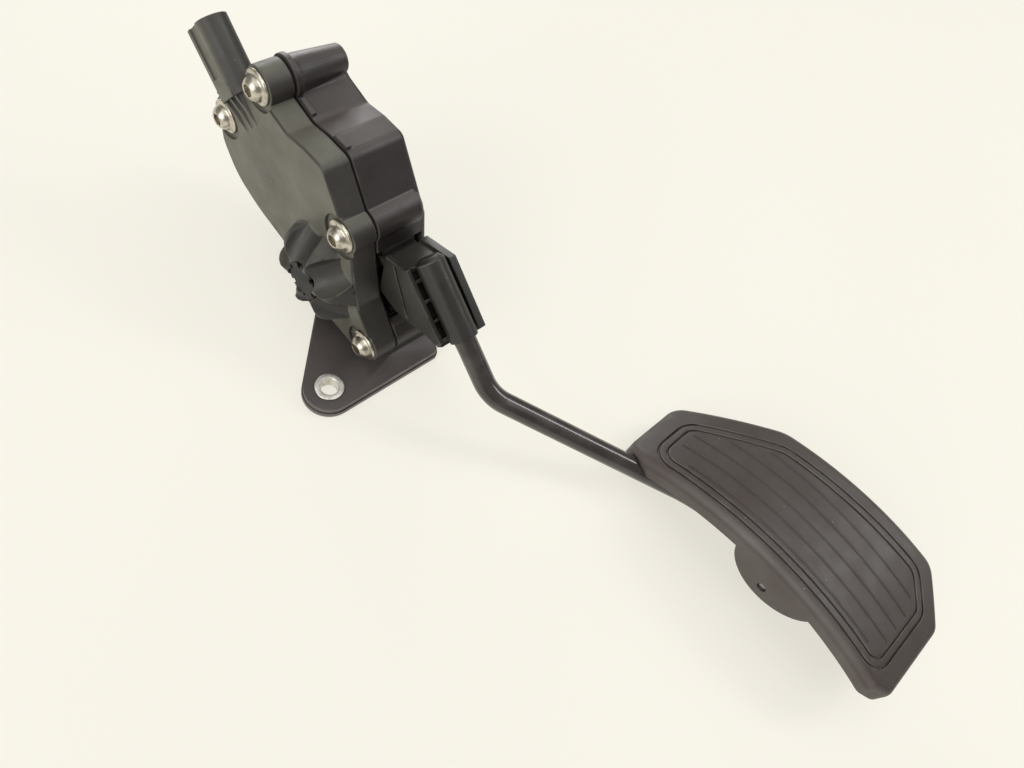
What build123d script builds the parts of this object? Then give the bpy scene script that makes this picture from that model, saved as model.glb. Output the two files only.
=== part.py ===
from build123d import *
from math import atan2, cos, degrees, hypot, radians, sin
import os

# Accelerator pedal for a car, in millimetres.
# X runs along the pivot from the cover to the housing's back, Y up the wall, Z out of the wall.
# The origin is the lower bolt's axis on the mounting face.

# Mounting flange
flange_t = 5.0
flange_base_t = 2.4
flange_step = 0.5
ear_r = 9.9
upper_ear_x = 56.0
upper_ear_y = 42.0
flange_corner_r = 3.0
flange_front_x = 42.0
flange_front_y = -7.5
flange_side_x = 22.7
flange_side_y = 33.5
bolt_hole_d = 6.6
bolt_bush_d = 11.0
bolt_bush_proud = 0.4
foot_rib_t = 2.5
foot_len = 36.0
foot_lean = 5.0
foot_bite = 1.0
toe_out = 1.5
toe_t = 2.5
ear_rib_h = 14.0
ear_rib_reach = 9.0
ear_rib_tip = 0.5
ear_rib_drops = [28.0, 10.0]

# Layers of the body along X
cover_x = 16.0
cover_depth = 9.9
gasket_t = 1.0
housing_depth = 21.6
wall = 2.5
seal_inset = 1.0
rim_x = cover_x + cover_depth
mouth_x = rim_x + gasket_t
back_x = mouth_x + housing_depth
inner_back_x = back_x - wall
inner_face_x = cover_x + wall
edge_chamfer = 0.6
back_edge_r = 2.0

# Body outline seen along the pivot: Y, Z and corner radius
outline = [
    (62.0, 79.0, 2.0),
    (51.5, 76.8, 4.0),
    (43.0, 78.6, 6.0),
    (33.2, 79.2, 4.0),
    (16.0, 57.0, 3.0),
    (13.6, 47.0, 5.0),
    (8.8, 32.5, 5.0),
    (-3.2, 18.5, 2.0),
    (3.0, 8.3, 2.0),
    (41.8, 8.3, 4.0),
    (50.0, 21.5, 8.0),
    (68.0, 24.0, 40.0),
    (82.0, 29.0, 20.0),
    (90.4, 40.0, 10.0),
    (91.0, 54.7, 1.0),
    (71.2, 83.9, 1.0),
]
front_rise = (outline[3][0] - outline[4][0], outline[3][1] - outline[4][1])
front_len = hypot(*front_rise)
front_slope = (front_rise[0] / front_len, front_rise[1] / front_len)
front_normal = (-front_slope[1], front_slope[0])

# Cover screws: top end first, then round the front to the foot
screw_points = [(67.9, 81.7), (87.7, 52.5), (21.7, 58.0), (3.0, 15.5)]
boss_r = 6.8
boss_core_r = 5.2
boss_edge = 1.5
top_boss_end_r = 4.8
top_collar_r = 7.4
collar_w = 2.1
seam_strips = [
    [(53.5, 76.0), (60.0, 77.5), (60.0, 79.8), (53.5, 78.4)],
    [(35.5, 77.5), (42.0, 77.0), (42.0, 79.9), (35.5, 80.3)],
]
washer_d = 12.0
washer_t = 1.2
seat_r = 8.0
dome_d = 8.6
dome_top_d = 5.8
dome_h = 3.2
dome_rim_h = 1.3
socket_d = 4.0
socket_depth = 2.2
shank_d = 4.5
shank_len = 22.7
shank_end_x = cover_x + washer_t + shank_len
drill_over = 1.0
screw_clearance = 0.25

# Pivot
pivot_y = 28.5
pivot_z = 32.0
travel = 16.0
shaft_d = 8.0
shaft_clearance = 0.05
pivot_bush_d = 12.0
bush_boss_r = 9.0
bush_boss_h = 2.65
running_gap = 0.05

# Fluted bearing hub on the cover
hub_height = 9.6
hub_base_r = 19.0
hub_end_r = 15.5
hub_shoulder_r = 6.5
flute_count = 6
flute_r = 7.0
flute_start_r = 15.8
flute_end_r = 25.4
flute_turn = 12.0
cap_r = 7.5
cap_recess = 0.7
cap_t = 1.0
cap_notch_w = 1.6
cap_notch_deep = 1.8
ring_t = 0.8
ring_r = 5.6
ring_groove_r = 3.4
ring_land = 0.6
ring_gap = 0.1
shaft_gap = 0.4
bush_floor = 1.1
bush_end_gap = 0.2
hub_end_x = cover_x - hub_height
shaft_x0 = hub_end_x + cap_recess + cap_t + shaft_gap
ring_x0 = shaft_x0 + ring_land
left_bush_x0 = ring_x0 + ring_t + ring_gap
right_bush_x0 = inner_back_x - bush_boss_h
right_bush_x1 = back_x - bush_floor
friction_t = 1.2
friction_d = 17.0
friction_bore_gap = 0.1
friction_x1 = right_bush_x0 - running_gap
friction_x0 = friction_x1 - friction_t

# Sensor
rotor_gap = 0.5
rotor_x0 = inner_face_x + rotor_gap
rotor_t = 2.4
rotor_r = 11.0
magnet_in_r = 6.5
magnet_out_r = 10.2
magnet_t = 1.6
magnet_count = 2
magnet_span = 110.0
chip_gap = 0.6
chip_len = 5.0
chip_w = 3.5
chip_t = 1.6
chip_turn = 45.0
board_t = 1.2
board_x0 = rotor_x0 + rotor_t + chip_gap + chip_t
board_w = 24.0
board_tail = 10.0
board_hole_r = 6.5
board_corner_r = 2.0
post_r = 2.0
post_along = 30.0
post_edge = 4.0
post_bite = 0.5

# Connector shroud, on the line between the two end screws
plug_sink = 2.2
plug_x = cover_x + plug_sink
plug_mid_y = 77.8
plug_mid_z = 67.1
plug_dir = (0.8, 0.6)
plug_w = 19.0
plug_h = 10.8
plug_wall = 1.8
plug_root = 2.0
plug_floor = 9.0
plug_end = 25.8
plug_band_w = 6.0
plug_band_deep = 0.6
gusset_t = 1.6
gusset_count = 3
gusset_pitch = 5.0
gusset_bite = 1.0
gusset_foot = -9.0
gusset_top = 6.0
blade_count = 6
blade_pitch = 2.5
blade_w = 1.2
blade_t = 0.64
blade_tip = 19.0
blade_root = -3.0
blade_lift = 1.4

# Mouth of the housing and its two stops
mouth_low = 22.8
mouth_high = 50.0
mouth_out = -20.0
mouth_deep = 22.0
lintel_t = 4.0
lintel_front = 5.0
lintel_back = 24.0
stop_side = 3.0
stop_x0 = mouth_x + stop_side
stop_x1 = inner_back_x - stop_side
stop_gap = 0.3
stop_rim = 0.5
pedestal_lean = 3.0
bumper_t = 3.2
bumper_len = 7.0
bumper_corner_r = 0.8
idle_stop_y = 14.2
full_stop_y = 6.0
full_stop_z = 24.3
stem_r = 1.8
stem_len = 3.0

# Lever carrier
side_gap = 0.45
left_plate_t = 1.8
right_plate_t = 3.0
carrier_hub_r = 11.0
boss_room = 1.0
neck_inset = 1.4
neck_skin = 3.0
neck_web = 4.0
neck_nose = [(9.5, 46.5), (2.0, 51.0), (-4.0, 46.0)]
foot_front = 2.5
foot_back = 4.0
left_plate = [
    (11.0, 52.0),
    (2.4, 54.8),
    (0.8, 55.9),
    (-21.6, 39.9),
    (-20.0, 37.0),
    (-11.8, 35.6),
    (-4.3, 32.5),
    (1.7, 31.5),
    (11.0, 33.0),
]
right_plate = [
    (11.0, 52.0),
    (-3.2, 57.0),
    (-24.6, 41.2),
    (-22.0, 34.2),
    (-18.0, 32.0),
    (0.0, 31.5),
    (11.0, 34.0),
]
hood = [(11.0, 51.0), (2.4, 53.8), (0.6, 53.2), (4.5, 48.0), (11.0, 45.2)]
plate_groove = [(5.9, 51.5), (-4.4, 35.4)]
plate_groove_w = 0.9
plate_groove_deep = 0.8
sleeve_r = 5.2
sleeve_over = 3.0
sleeve_end_edge = 1.5
sleeve_len = 27.4
web_t = 3.0
web_drop = 4.8
web_bite = 0.2
cross_rib_t = 1.2
cross_rib_drop = 2.0
cross_rib_count = 4
cross_rib_pitch = 7.3
cross_rib_first = 3.0
carrier_x0 = mouth_x + side_gap
carrier_x1 = inner_back_x - side_gap
left_plate_x1 = carrier_x0 + left_plate_t
right_plate_x0 = carrier_x1 - right_plate_t

# Spring arm, seat and springs
arm_half = 4.0
arm_taper = 1.0
arm_tip = 6.5
spring_room = 1.0
wire_sides = 6
spring_x = (mouth_x + inner_back_x) / 2
seat_disc_r = 7.3
seat_t = 2.0
peg_r = 2.4
peg_h = 3.5
outer_spring_r = 6.0
outer_wire_d = 1.6
outer_turns = 3.5
inner_spring_r = 3.9
inner_wire_d = 1.2
inner_turns = 4.5

# Pedal rod
rod_d = 8.0
rod_x = 36.0
rod_top_y = -2.0
rod_top_z = 56.4
rod_slope = 35.8
rod_dir = (-cos(radians(rod_slope)), -sin(radians(rod_slope)))
rod_first_run = 50.4
rod_bend_r = 18.0
pad_rod_x = 86.0
rod_low_y = -116.0
rod_low_z = 4.2
lug_y = -154.0
rod_past_pin = 8.0
rod_end_y = lug_y - rod_past_pin
rod_end_z = 23.0

# Pedal pad: bowed top, seen from above as X, Y and corner radius
pad_side_x = 70.6
pad_wide_x = 126.2
pad_far_y = -86.0
pad_near_y = -206.6
pad_outline = [
    (74.2, pad_far_y, 6.0),
    (102.5, pad_far_y, 8.0),
    (121.2, -121.5, 16.0),
    (pad_wide_x, -189.5, 9.0),
    (110.5, pad_near_y, 6.0),
    (75.0, pad_near_y, 6.0),
    (pad_side_x, -199.0, 5.0),
    (pad_side_x, -94.0, 5.0),
]
pad_top_z = 35.5
bow_r = 129.0
bow_y = -157.0
bow_z = pad_top_z - bow_r
pad_skin = 3.0
pad_skirt = 8.0
pad_edge_r = 4.0
groove_w = 0.9
groove_deep = 0.7
border_side = 3.4
border_wide = 7.6
border_far = 7.0
border_near = 8.0
border_side_x = pad_side_x + border_side
border_wide_x = pad_wide_x - border_wide
border_far_y = pad_far_y - border_far
border_near_y = pad_near_y + border_near
border_outline = [
    (border_side_x, border_far_y, 9.0),
    (97.1, border_far_y, 8.0),
    (114.0, -125.0, 14.0),
    (border_wide_x, -186.8, 9.0),
    (107.8, border_near_y, 7.0),
    (border_side_x, border_near_y, 8.0),
]
border_insets = [0.0, 3.0]
pad_rib_t = 2.0
pad_rib_rise = 1.0
pad_side_rib = 20.0
pad_cross_ribs = [42.0, -24.0]
lug_t = 3.0
lug_r = 18.0
lug_z = 32.0
pin_d = 3.6
pin_recess = 1.0
saddle_w = 11.0
saddle_ahead = 8.0
saddle_behind = 10.5
saddle_front = lug_y + saddle_ahead
saddle_back = lug_y - saddle_behind
saddle_low = 12.5


def slab(sketch, x0, x1):
    """A flat sketch in Y and Z, made solid from x0 to x1."""
    return extrude(Plane.YZ.offset(x0) * sketch, x1 - x0)


def bar(y, z, r, x0, x1):
    """A round bar along X."""
    return slab(Pos(y, z) * Circle(r), x0, x1)


def taper_bar(y, z, r0, x0, r1, x1):
    """A round bar along X that narrows or widens from r0 to r1."""
    start = Plane.YZ.offset(x0) * Pos(y, z) * Circle(r0)
    end = Plane.YZ.offset(x1) * Pos(y, z) * Circle(r1)
    return loft(Sketch() + [start, end])


def face_of(points):
    """A face from points that carry their own corner radius."""
    corners = [(p[0], p[1]) for p in points]
    radii = [p[2] for p in points]
    return make_face(FilletPolyline(*corners, radius=radii, close=True))


def plain_face(*points):
    return make_face(Polyline(*points, close=True))


def box_face(y0, z0, y1, z1):
    return plain_face((y0, z0), (y1, z0), (y1, z1), (y0, z1))


def turned_back(y, z):
    """Where a point of the pressed lever lies at rest."""
    angle = radians(-travel)
    dy = y - pivot_y
    dz = z - pivot_z
    return (pivot_y + dy * cos(angle) - dz * sin(angle), pivot_z + dy * sin(angle) + dz * cos(angle))


def on_arm(along, off):
    """A point in Y and Z, measured from the pivot along the spring arm and across it."""
    y = pivot_y + along * front_slope[0] + off * front_normal[0]
    z = pivot_z + along * front_slope[1] + off * front_normal[1]
    return (y, z)


def front_wall_off():
    """How far the sloping front wall's inner face lies from the arm's centre line."""
    corner_y, corner_z, _ = outline[4]
    dy = corner_y - pivot_y
    dz = corner_z - pivot_z
    return dy * front_normal[0] + dz * front_normal[1] - wall


def arm_len():
    """How far along the arm the springs sit, clear of the front screw's boss."""
    y, z = screw_points[2]
    boss_along = (y - pivot_y) * front_slope[0] + (z - pivot_z) * front_slope[1]
    return boss_along + boss_core_r + outer_spring_r + outer_wire_d / 2 + spring_room


def spring_axis(off):
    y, z = on_arm(arm_len(), off)
    return Plane(origin=(spring_x, y, z), x_dir=(1, 0, 0), z_dir=(0, front_normal[0], front_normal[1]))


def plug_plane():
    """Local X runs across the shroud, local Y out of the cover's face, local Z out of the shroud."""
    across = (0, plug_dir[1], -plug_dir[0])
    return Plane(origin=(plug_x, plug_mid_y, plug_mid_z), x_dir=across, z_dir=(0, *plug_dir))


def rod_plane():
    """Local X runs along the pivot, local Y up out of the carrier, local Z down the rod."""
    return Plane(origin=(rod_x, rod_top_y, rod_top_z), x_dir=(1, 0, 0), z_dir=(0, *rod_dir))


def screw_circles(r, points=screw_points):
    return Sketch() + [Pos(y, z) * Circle(r) for y, z in points]


def cavity():
    """The hollow seen along the pivot, less the solid screw bosses."""
    return offset(face_of(outline), amount=-wall) - screw_circles(boss_core_r)


def flange_layer(inset, height):
    corners = [
        (0, 0, ear_r),
        (upper_ear_x, upper_ear_y, ear_r),
        (flange_front_x, flange_front_y, flange_corner_r),
        (flange_side_x, flange_side_y, flange_corner_r),
    ]
    circles = Sketch() + [Pos(x, y) * Circle(r - inset) for x, y, r in corners]
    return extrude(make_hull(circles.edges()), height)


def make_flange():
    """The mounting flange: a base with a slightly smaller top, and a hole in each ear for its bush."""
    plate = flange_layer(0, flange_base_t) + flange_layer(flange_step, flange_t)
    for x, y in [(0, 0), (upper_ear_x, upper_ear_y)]:
        plate -= Pos(x, y, flange_t / 2) * Cylinder(bolt_bush_d / 2, flange_t)
    return plate


def make_foot():
    """Ribs that carry the body on the flange, and gussets out to the upper ear."""
    low = flange_t / 2
    body_low = outline[8][1]
    high = body_low + foot_bite
    side = plain_face((0, low), (foot_len, low), (foot_len + foot_lean, high), (0, high))
    foot = Part()
    for x0 in [mouth_x, (mouth_x + back_x - foot_rib_t) / 2, back_x - foot_rib_t]:
        foot += slab(side, x0, x0 + foot_rib_t)
    foot += slab(box_face(-toe_out, low, toe_t - toe_out, high + toe_t), mouth_x, back_x)
    for drop in ear_rib_drops:
        gusset = plain_face(
            (inner_back_x, low),
            (back_x + ear_rib_reach, low),
            (back_x + ear_rib_reach, flange_t + ear_rib_tip),
            (back_x, flange_t + ear_rib_h),
            (inner_back_x, flange_t + ear_rib_h),
        )
        foot += extrude(Plane.XZ.offset(drop - upper_ear_y) * gusset, -foot_rib_t)
    return foot


def make_top_boss():
    """The end screw's boss, a horn that narrows towards the housing's back, with a collar at the seam."""
    y, z = screw_points[0]
    horn = taper_bar(y, z, boss_r, mouth_x, top_boss_end_r, back_x)
    horn = chamfer(horn.faces().sort_by(Axis.X)[-1].edges(), edge_chamfer)
    return horn + bar(y, z, top_collar_r, mouth_x, mouth_x + collar_w)


def make_seam_strips():
    strips = Part()
    for points in seam_strips:
        strips += slab(plain_face(*points), mouth_x, mouth_x + collar_w)
    return strips


def make_bumper(y, z, up):
    """A rubber block with a stem that plugs into its support; up is 1 where the stem points up."""
    middle = (y + bumper_len / 2, z + up * bumper_t / 2)
    block = slab(Pos(*middle) * RectangleRounded(bumper_len, bumper_t, bumper_corner_r), stop_x0, stop_x1)
    stem_z = z + up * (bumper_t + stem_len / 2)
    stem = Pos((stop_x0 + stop_x1) / 2, y + bumper_len / 2, stem_z) * Cylinder(stem_r, stem_len)
    return block + stem


def make_idle_bumper():
    return make_bumper(idle_stop_y, mouth_high - bumper_t, 1)


def make_full_bumper():
    return make_bumper(full_stop_y, full_stop_z, -1)


def make_stop_supports():
    lintel = box_face(lintel_front, mouth_high, lintel_back, mouth_high + lintel_t)
    front = full_stop_y - stop_rim
    back = full_stop_y + bumper_len + stop_rim
    low = outline[8][1]
    high = full_stop_z - bumper_t
    pedestal = plain_face((front, low), (back + pedestal_lean, low), (back, high), (front, high))
    supports = slab(lintel, mouth_x, inner_back_x) & slab(face_of(outline), mouth_x, inner_back_x)
    return supports + slab(pedestal, stop_x0 - stop_rim, stop_x1 + stop_rim)


def make_housing():
    housing = slab(face_of(outline), mouth_x, back_x)
    housing = fillet(housing.faces().sort_by(Axis.X)[-1].edges(), back_edge_r)
    for y, z in screw_points[1:]:
        boss = bar(y, z, boss_r, mouth_x, back_x - boss_edge)
        housing += chamfer(boss.faces().sort_by(Axis.X)[-1].edges(), boss_edge)
    housing += make_top_boss() + make_seam_strips()
    housing -= slab(cavity(), mouth_x, inner_back_x)
    housing -= slab(box_face(mouth_out, mouth_low, mouth_deep, mouth_high), mouth_x, inner_back_x)
    housing += make_stop_supports() + make_flange() + make_foot()
    housing += bar(pivot_y, pivot_z, bush_boss_r, right_bush_x0, inner_back_x)
    housing -= bar(pivot_y, pivot_z, pivot_bush_d / 2, right_bush_x0, right_bush_x1)
    housing += extrude(spring_axis(front_wall_off() - peg_h) * Circle(peg_r), peg_h + wall / 2)
    for y, z in screw_points:
        housing -= bar(y, z, shank_d / 2, mouth_x, shank_end_x + drill_over)
    return housing - make_idle_bumper() - make_full_bumper()


def make_hub():
    """The bearing hub on the cover's face: a domed boss with scooped flutes that run out at its foot."""
    hub = taper_bar(pivot_y, pivot_z, hub_end_r, hub_end_x, hub_base_r, cover_x)
    hub = fillet(hub.faces().sort_by(Axis.X)[0].edges(), hub_shoulder_r)
    spread = flute_end_r - flute_start_r
    length = hypot(hub_height, spread) + 2 * flute_r
    for i in range(flute_count):
        turn = radians(flute_turn + i * 360 / flute_count)
        out = (cos(turn), sin(turn))
        start = (hub_end_x, pivot_y + flute_start_r * out[0], pivot_z + flute_start_r * out[1])
        plane = Plane(origin=start, z_dir=(hub_height, spread * out[0], spread * out[1]))
        hub -= extrude(plane.offset(-flute_r) * Circle(flute_r), length)
    return hub


def make_shroud():
    """The connector shroud with the three gussets that run down onto the cover's face."""
    plane = plug_plane()
    shroud = extrude(plane.offset(plug_root) * SlotOverall(plug_w, plug_h), plug_end - plug_root)
    band_len = plug_end - plug_floor
    band_y = plug_h / 2 - plug_band_deep / 2
    band = Box(plug_band_w, plug_band_deep, band_len)
    shroud -= plane * Pos(0, band_y, plug_end - band_len / 2) * band
    rim_y = plug_x - plug_h / 2
    sunk = cover_x + gusset_bite
    side = plain_face((gusset_top, rim_y), (gusset_top, sunk), (gusset_foot, sunk), (gusset_foot, cover_x))
    for i in range(gusset_count):
        at = (i - (gusset_count - 1) / 2) * gusset_pitch - gusset_t / 2
        across = (0, plug_dir[1], -plug_dir[0])
        upright = Plane(origin=(0, plug_mid_y, plug_mid_z), x_dir=(0, *plug_dir), z_dir=across)
        shroud += extrude(upright.offset(at) * side, gusset_t)
    return shroud


def plug_hollow():
    wide = plug_w - 2 * plug_wall
    high = plug_h - 2 * plug_wall
    return extrude(plug_plane().offset(plug_floor) * SlotOverall(wide, high), plug_end - plug_floor)


def board_post_points():
    side = board_w / 2 - post_edge
    angle = board_angle()
    points = []
    for across in [-side, side]:
        y = pivot_y + post_along * cos(angle) - across * sin(angle)
        z = pivot_z + post_along * sin(angle) + across * cos(angle)
        points.append((y, z))
    return points


def make_cover():
    body = face_of(outline) + screw_circles(boss_r)
    cover = slab(body, cover_x, rim_x)
    cover = chamfer(cover.faces().sort_by(Axis.X)[0].edges(), edge_chamfer)
    cover += make_hub() + make_shroud()
    cover -= slab(cavity(), inner_face_x, rim_x)
    for y, z in board_post_points():
        cover += bar(y, z, post_r, inner_face_x - post_bite, board_x0)
    cover -= plug_hollow()
    for y, z in screw_points:
        cover -= bar(y, z, seat_r, cover_x - dome_h, cover_x + washer_t)
        cover -= bar(y, z, shank_d / 2 + screw_clearance, cover_x, rim_x)
    cover -= bar(pivot_y, pivot_z, cap_r, hub_end_x, left_bush_x0)
    cover -= bar(pivot_y, pivot_z, pivot_bush_d / 2, left_bush_x0, inner_face_x)
    return cover - make_terminals()


def make_gasket():
    ring = offset(face_of(outline), amount=-seal_inset) + screw_circles(boss_r - seal_inset)
    ring -= cavity()
    ring -= screw_circles(shank_d / 2 + screw_clearance)
    return slab(ring, rim_x, mouth_x)


def make_screws():
    screws = []
    for y, z in screw_points:
        screw = bar(y, z, washer_d / 2, cover_x, cover_x + washer_t)
        dome = bar(y, z, dome_d / 2, cover_x - dome_rim_h, cover_x)
        dome += taper_bar(y, z, dome_top_d / 2, cover_x - dome_h, dome_d / 2, cover_x - dome_rim_h)
        socket = Pos(y, z) * RegularPolygon(socket_d / 2, 6)
        dome -= slab(socket, cover_x - dome_h, cover_x - dome_h + socket_depth)
        screws.append(screw + dome + bar(y, z, shank_d / 2, cover_x + washer_t, shank_end_x))
    return Compound(children=screws)


def make_cap():
    cap_x = hub_end_x + cap_recess
    cap = bar(pivot_y, pivot_z, cap_r, cap_x, cap_x + cap_t)
    middle = Plane(origin=(cap_x + cap_t / 2, pivot_y, pivot_z))
    for i in range(flute_count):
        spot = Rot(i * 360 / flute_count + flute_turn, 0, 0) * Pos(0, cap_r - cap_notch_deep / 2, 0)
        cap -= middle * spot * Box(cap_t, cap_notch_deep, cap_notch_w)
    return cap


def make_pivot_bush(x0, x1):
    tube = Circle(pivot_bush_d / 2) - Circle(shaft_d / 2 + shaft_clearance)
    return slab(Pos(pivot_y, pivot_z) * tube, x0, x1)


def make_ring():
    """A retaining ring, open on one side, in the shaft's end groove."""
    ring = Circle(ring_r) - Circle(ring_groove_r)
    ring -= Pos(ring_r, 0) * Rectangle(2 * ring_r, ring_groove_r)
    return slab(Pos(pivot_y, pivot_z) * ring, ring_x0, ring_x0 + ring_t)


def make_shaft():
    shaft = bar(pivot_y, pivot_z, shaft_d / 2, shaft_x0, right_bush_x1 - bush_end_gap)
    groove = Circle(shaft_d) - Circle(ring_groove_r)
    return shaft - slab(Pos(pivot_y, pivot_z) * groove, ring_x0, ring_x0 + ring_t)


def make_friction_washer():
    ring = Circle(friction_d / 2) - Circle(shaft_d / 2 + friction_bore_gap)
    return slab(Pos(pivot_y, pivot_z) * ring, friction_x0, friction_x1)


def make_magnets():
    """Two curved magnets, flush in the rotor's face, that face the sensor chips."""
    x1 = rotor_x0 + rotor_t
    half = magnet_span / 2
    magnets = []
    for i in range(magnet_count):
        middle = degrees(board_angle()) + i * 360 / magnet_count
        ring = Circle(magnet_out_r) - Circle(magnet_in_r)
        corners = [radians(middle + turn) for turn in [-half, 0, half]]
        reach = 2 * magnet_out_r
        wedge = ring & plain_face((0, 0), *[(reach * cos(a), reach * sin(a)) for a in corners])
        magnets.append(slab(Pos(pivot_y, pivot_z) * wedge, x1 - magnet_t, x1))
    return Compound(children=magnets)


def make_rotor():
    rotor = bar(pivot_y, pivot_z, rotor_r, rotor_x0, rotor_x0 + rotor_t)
    rotor -= bar(pivot_y, pivot_z, shaft_d / 2, rotor_x0, rotor_x0 + rotor_t)
    for magnet in make_magnets().solids():
        rotor -= magnet
    return rotor


def board_angle():
    return atan2(plug_mid_z - pivot_z, plug_mid_y - pivot_y)


def board_reach():
    return hypot(plug_mid_y - pivot_y, plug_mid_z - pivot_z)


def make_board():
    length = board_reach() + board_tail
    plate = Pos(board_reach() - length / 2, 0) * RectangleRounded(length, board_w, board_corner_r)
    plate -= Circle(board_hole_r)
    spot = Pos(pivot_y, pivot_z) * Rot(0, 0, degrees(board_angle()))
    return slab(spot * plate, board_x0, board_x0 + board_t)


def make_chips():
    """Two sensor chips on the board's face, over the magnets."""
    away = (magnet_in_r + magnet_out_r) / 2
    chips = []
    for side in [-1, 1]:
        turn = board_angle() + side * radians(chip_turn)
        spot = Pos(pivot_y + away * cos(turn), pivot_z + away * sin(turn)) * Rot(0, 0, degrees(turn))
        chips.append(slab(spot * Rectangle(chip_w, chip_len), board_x0 - chip_t, board_x0))
    return Compound(children=chips)


def make_terminals():
    plane = plug_plane()
    terminals = []
    first = -(blade_count - 1) / 2 * blade_pitch
    length = blade_tip - blade_root
    tail_top = blade_lift - blade_t / 2
    tail_end = board_x0 - plug_x
    for i in range(blade_count):
        across = first + i * blade_pitch
        blade = Pos(across, -blade_lift, (blade_tip + blade_root) / 2) * Box(blade_w, blade_t, length)
        tail_len = tail_end - tail_top
        tail_spot = Pos(across, -(tail_top + tail_len / 2), blade_root + blade_t / 2)
        tail = tail_spot * Box(blade_w, tail_len, blade_t)
        terminals.append(plane * (blade + tail))
    return Compound(children=terminals)


def make_bolt_bush(x, y):
    ring = Circle(bolt_bush_d / 2) - Circle(bolt_hole_d / 2)
    return extrude(Pos(x, y) * ring, flange_t + bolt_bush_proud)


def make_rod():
    low_y = rod_top_y + rod_first_run * rod_dir[0]
    low_z = rod_top_z + rod_first_run * rod_dir[1]
    points = [
        (rod_x, rod_top_y, rod_top_z),
        (rod_x, low_y, low_z),
        (pad_rod_x, rod_low_y, rod_low_z),
        (pad_rod_x, rod_end_y, rod_end_z),
    ]
    path = FilletPolyline(*points, radius=rod_bend_r)
    return sweep(rod_plane() * Circle(rod_d / 2), path=path)


def make_neck():
    """The carrier's part inside the mouth, pocketed on each side; its foot meets the full travel stop."""
    foot_z = full_stop_z + stop_gap
    low_front = turned_back(full_stop_y - foot_front, foot_z)
    low_back = turned_back(full_stop_y + bumper_len + foot_back, foot_z)
    top_back = (idle_stop_y + bumper_len, mouth_high - bumper_t - stop_gap)
    hub_top = (pivot_y, pivot_z + carrier_hub_r)
    hub_low = (pivot_y, pivot_z - carrier_hub_r)
    side = plain_face(hub_top, top_back, *neck_nose, low_front, low_back, hub_low)
    pocket = offset(side, amount=-neck_skin)
    x0 = carrier_x0 + neck_inset
    x1 = carrier_x1 - neck_inset
    middle = (x0 + x1) / 2
    neck = slab(side, x0, x1)
    neck -= slab(pocket, x0, middle - neck_web / 2)
    return neck - slab(pocket, middle + neck_web / 2, x1)


def make_carrier():
    carrier = slab(plain_face(*left_plate), carrier_x0, left_plate_x1)
    carrier += slab(plain_face(*right_plate), right_plate_x0, carrier_x1)
    carrier += slab(plain_face(*hood), carrier_x0, carrier_x1)
    carrier += make_neck() + make_arm() + make_sleeve()
    carrier += bar(pivot_y, pivot_z, carrier_hub_r, carrier_x0, friction_x0)
    groove = make_face(offset(Line(*plate_groove), amount=plate_groove_w / 2).edges())
    carrier -= slab(groove, carrier_x0, carrier_x0 + plate_groove_deep)
    carrier -= bar(pivot_y, pivot_z, shaft_d / 2, carrier_x0, friction_x0)
    carrier -= bar(pivot_y, pivot_z, bush_boss_r + boss_room, friction_x0, carrier_x1)
    return carrier - make_rod()


def make_arm():
    reach = arm_len() + arm_tip
    low = -arm_half
    root = [on_arm(0, arm_half), on_arm(0, low)]
    side = plain_face(*root, on_arm(reach, low + arm_taper), on_arm(reach, arm_half))
    return slab(side, spring_x - arm_tip, spring_x + arm_tip)


def make_sleeve():
    """The tube that holds the rod, with a web behind it and cross ribs to the left plate."""
    plane = rod_plane()
    sleeve = extrude(plane.offset(-sleeve_over) * Circle(sleeve_r), sleeve_len + sleeve_over)
    sleeve = chamfer(sleeve.faces().sort_by(Axis.Y)[-1].edges(), sleeve_end_edge)
    x0 = left_plate_x1 - rod_x - web_bite
    x1 = right_plate_x0 - rod_x + web_bite
    web_y = -web_drop - web_t / 2
    sleeve += plane * Pos((x0 + x1) / 2, web_y, sleeve_len / 2) * Box(x1 - x0, web_t, sleeve_len)
    for i in range(cross_rib_count):
        at = cross_rib_first + i * cross_rib_pitch
        rib = Box(-x0, web_drop - cross_rib_drop, cross_rib_t)
        sleeve += plane * Pos(x0 / 2, -(web_drop + cross_rib_drop) / 2, at) * rib
    return sleeve


def make_seat():
    base = extrude(spring_axis(arm_half) * Circle(seat_disc_r), seat_t)
    return base + extrude(spring_axis(arm_half + seat_t) * Circle(peg_r), peg_h)


def make_spring(mean_r, wire_d, turns):
    low = arm_half + seat_t + wire_d / 2
    height = front_wall_off() - wire_d / 2 - low
    plane = spring_axis(low)
    coil = Helix(height / turns, height, mean_r, center=plane.origin, direction=plane.z_dir)
    wire = Plane(origin=coil @ 0, z_dir=coil % 0) * RegularPolygon(wire_d / 2, wire_sides)
    return sweep(wire, path=coil, is_frenet=True)


def bow(drop):
    """Everything below the pad's bowed top, let down by the given depth."""
    return bar(bow_y, bow_z, bow_r - drop, pad_side_x - pad_skin, pad_wide_x + pad_skin)


def pad_prism(inset, points=pad_outline):
    face = face_of(points)
    if inset > 0:
        face = offset(face, amount=-inset)
    return extrude(face, pad_top_z + pad_skin)


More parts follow.
